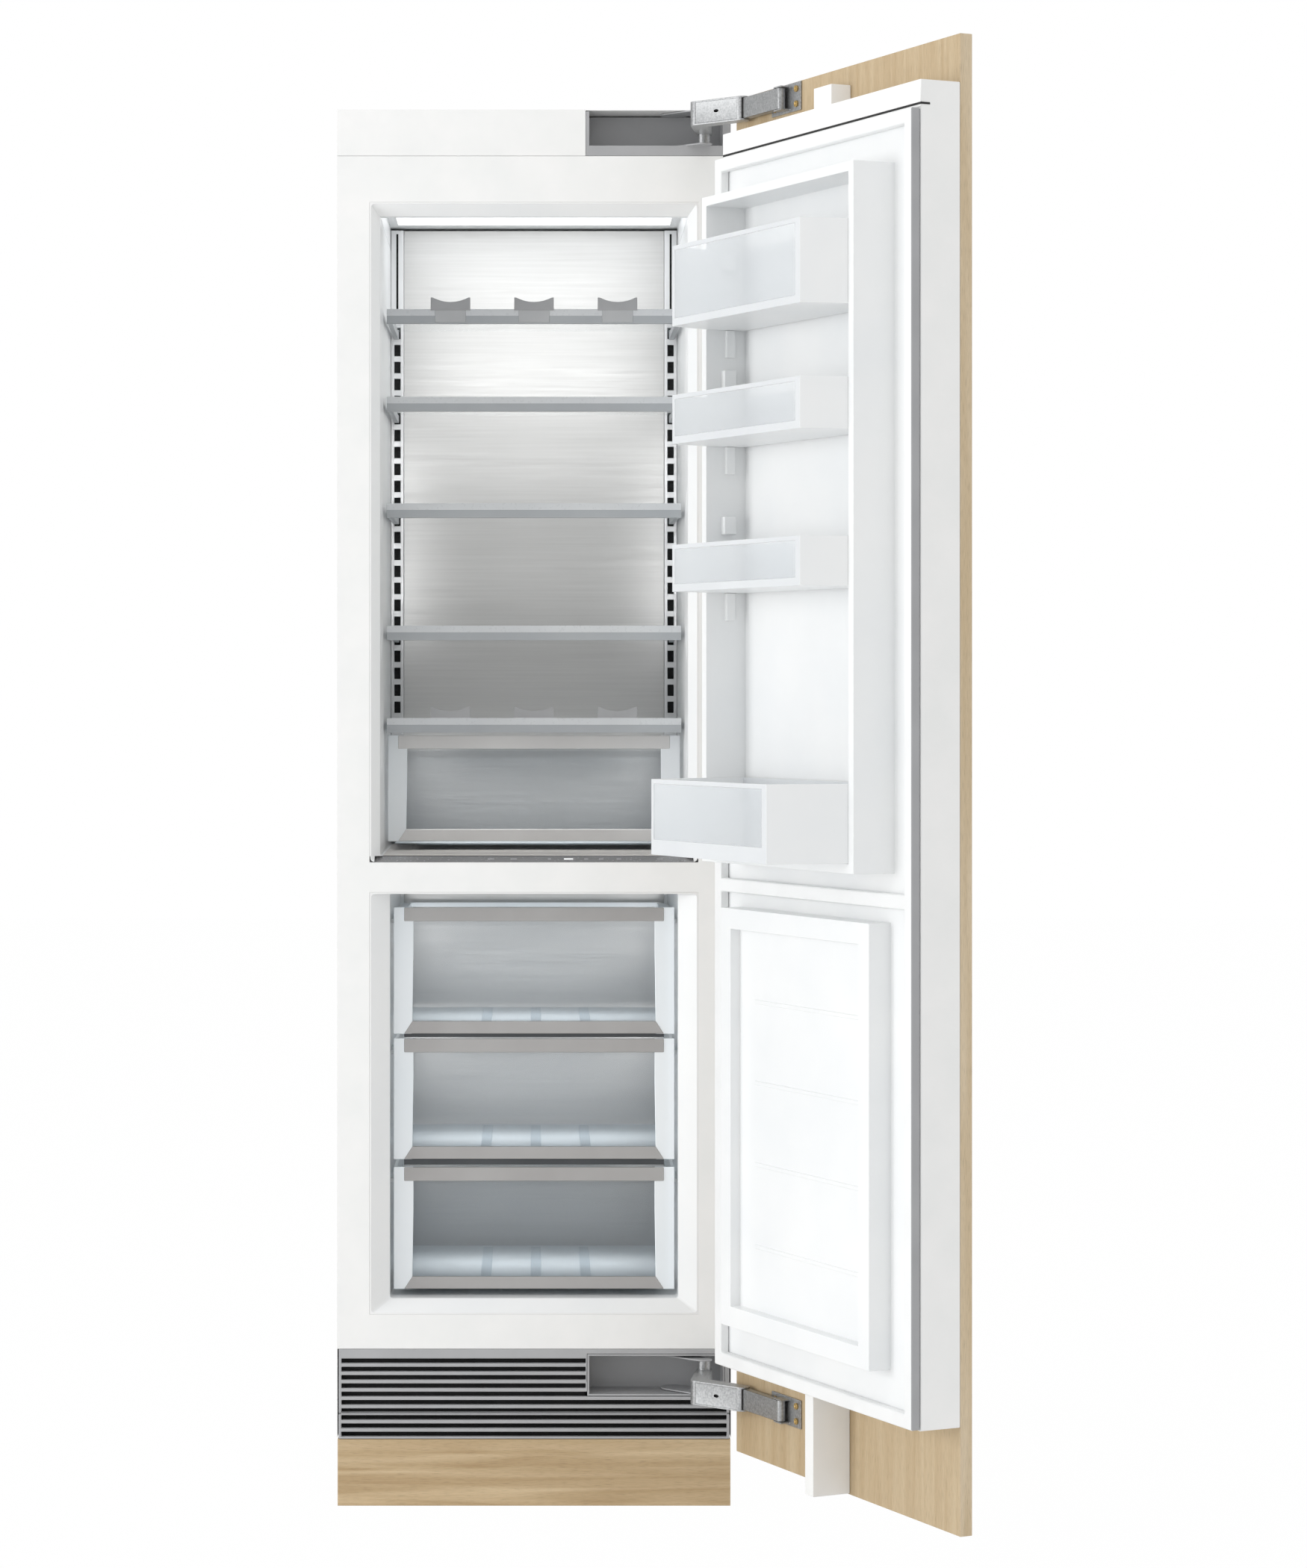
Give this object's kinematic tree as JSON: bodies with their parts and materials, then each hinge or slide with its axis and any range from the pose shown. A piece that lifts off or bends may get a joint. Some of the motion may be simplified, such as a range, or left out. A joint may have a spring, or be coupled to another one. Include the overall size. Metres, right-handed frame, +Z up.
{
  "type": "column refrigerator",
  "caption": "Tall built-in column refrigerator and freezer with an oak overlay door on folding hinges, glass shelves, door bins and freezer drawers.",
  "frame": {"origin": "floor, on the middle plane of the cabinet, under the plane of its front frame", "axes": "+X to the right seen from the front, +Y into the cabinet, +Z up; the door stands open in front at negative Y"},
  "size_m": [0.8942, 1.2459, 2.134],
  "materials": {
    "white_steel": "satin white powder coat",
    "liner_white": "moulded white, slight sheen",
    "foam_yellow": "rigid foam, matt",
    "oak_veneer": "light oak, clear matt lacquer",
    "hinge_steel": "bright zinc plated steel",
    "hinge_box_gray": "gray satin coat",
    "grille_gray": "gray satin coat",
    "back_steel": "brushed stainless steel",
    "control_glass": "dark gloss touch strip",
    "lamp_white": "opal light diffuser",
    "shelf_trim": "cool gray moulding",
    "shelf_glass": "clear toughened glass",
    "drawer_clear": "clear moulded plastic with a cool tint",
    "bin_clear": "clear moulded plastic with a cool tint",
    "gasket_gray": "soft gray vinyl seal",
    "zinc_sheet": "galvanised sheet",
    "black_metal": "black satin coat",
    "coil_aluminium": "plain fins",
    "fan_black": "moulded black",
    "roller_rubber": "black rubber",
    "foot_zinc": "zinc plated steel"
  },
  "bodies": {
    "cabinet": {"casing_wrapper": "white_steel", "base_pan": "zinc_sheet", "foam_insulation": "foam_yellow", "front_frame": "white_steel", "top_fascia": "white_steel", "control_panel": "control_glass", "upper_liner": "liner_white", "lower_liner": "liner_white", "steel_back_wall": "back_steel", "shelf_track_left": "liner_white", "shelf_track_right": "liner_white", "ceiling_light": "lamp_white", "side_lights_left": "lamp_white", "side_lights_right": "lamp_white", "shelf_frame_1": "shelf_trim", "shelf_frame_2": "shelf_trim", "shelf_frame_3": "shelf_trim", "shelf_frame_4": "shelf_trim", "shelf_frame_5": "shelf_trim", "shelf_glass_1": "shelf_glass", "shelf_glass_2": "shelf_glass", "shelf_glass_3": "shelf_glass", "shelf_glass_4": "shelf_glass", "shelf_glass_5": "shelf_glass", "upper_grille": "grille_gray", "kick_grille": "grille_gray", "toe_kick": "oak_veneer", "front_leg_left": "foot_zinc", "front_leg_right": "foot_zinc", "compressor": "black_metal", "condenser": "black_metal", "evaporator": "coil_aluminium", "hinge_box_top": "hinge_box_gray", "hinge_box_bottom": "hinge_box_gray"},
    "door": {"oak_panel": "oak_veneer", "door_shell": "white_steel", "door_foam": "foam_yellow", "door_liner": "liner_white", "door_gasket": "gasket_gray", "door_bin_1": "bin_clear", "door_bin_2": "bin_clear", "door_bin_3": "bin_clear", "door_bin_4": "bin_clear", "hinge_bracket_top": "hinge_steel", "hinge_bracket_bottom": "hinge_steel"},
    "hinge_arms": {"hinge_arm_top": "hinge_steel", "hinge_arm_bottom": "hinge_steel"},
    "hinge_links": {"hinge_link_top": "hinge_steel", "hinge_link_bottom": "hinge_steel"},
    "crisper": {"crisper_tray": "drawer_clear", "crisper_front": "drawer_clear"},
    "drawer_1": {"drawer_1_tray": "drawer_clear", "drawer_1_front": "drawer_clear"},
    "drawer_2": {"drawer_2_tray": "drawer_clear", "drawer_2_front": "drawer_clear"},
    "drawer_3": {"drawer_3_tray": "drawer_clear", "drawer_3_front": "drawer_clear"},
    "condenser_fan": {"condenser_fan": "fan_black"},
    "evaporator_fan": {"evaporator_fan": "fan_black"},
    "rear_rollers": {"rear_rollers": "roller_rubber"}
  },
  "joints": [
    {"name": "door_swing", "type": "hinge", "parent": "cabinet", "child": "door", "pos_m": [0.33204, -0.10031, 0], "axis": [0, 0, 1], "range_deg": [-115, 0]},
    {"name": "hinge_arm_turn", "type": "hinge", "parent": "cabinet", "child": "hinge_arms", "pos_m": [0.26, -0.008, 0], "axis": [0, 0, 1], "range_deg": [-121, 0]},
    {"name": "hinge_link_turn", "type": "hinge", "parent": "door", "child": "hinge_links", "pos_m": [0.3614, -0.24776, 0], "axis": [0, 0, 1], "range_deg": [0, 131]},
    {"name": "crisper_slide", "type": "slide", "parent": "cabinet", "child": "crisper", "axis": [0, -1, 0], "range_m": [0, 0.28]},
    {"name": "drawer_1_slide", "type": "slide", "parent": "cabinet", "child": "drawer_1", "axis": [0, -1, 0], "range_m": [0, 0.33]},
    {"name": "drawer_2_slide", "type": "slide", "parent": "cabinet", "child": "drawer_2", "axis": [0, -1, 0], "range_m": [0, 0.33]},
    {"name": "drawer_3_slide", "type": "slide", "parent": "cabinet", "child": "drawer_3", "axis": [0, -1, 0], "range_m": [0, 0.33]},
    {"name": "condenser_fan_spin", "type": "hinge", "parent": "cabinet", "child": "condenser_fan", "pos_m": [-0.11, 0.12, 0.1313], "axis": [0, 1, 0], "continuous": true},
    {"name": "evaporator_fan_spin", "type": "hinge", "parent": "cabinet", "child": "evaporator_fan", "pos_m": [0, 0.48, 1.4], "axis": [0, 1, 0], "continuous": true},
    {"name": "roller_spin", "type": "hinge", "parent": "cabinet", "child": "rear_rollers", "pos_m": [0, 0.49, 0.02], "axis": [1, 0, 0], "continuous": true}
  ],
  "couplings": [
    {"joint": "hinge_arm_turn", "follows": "door_swing", "ratio": 1.0455},
    {"joint": "hinge_link_turn", "follows": "door_swing", "ratio": -1.1324}
  ]
}
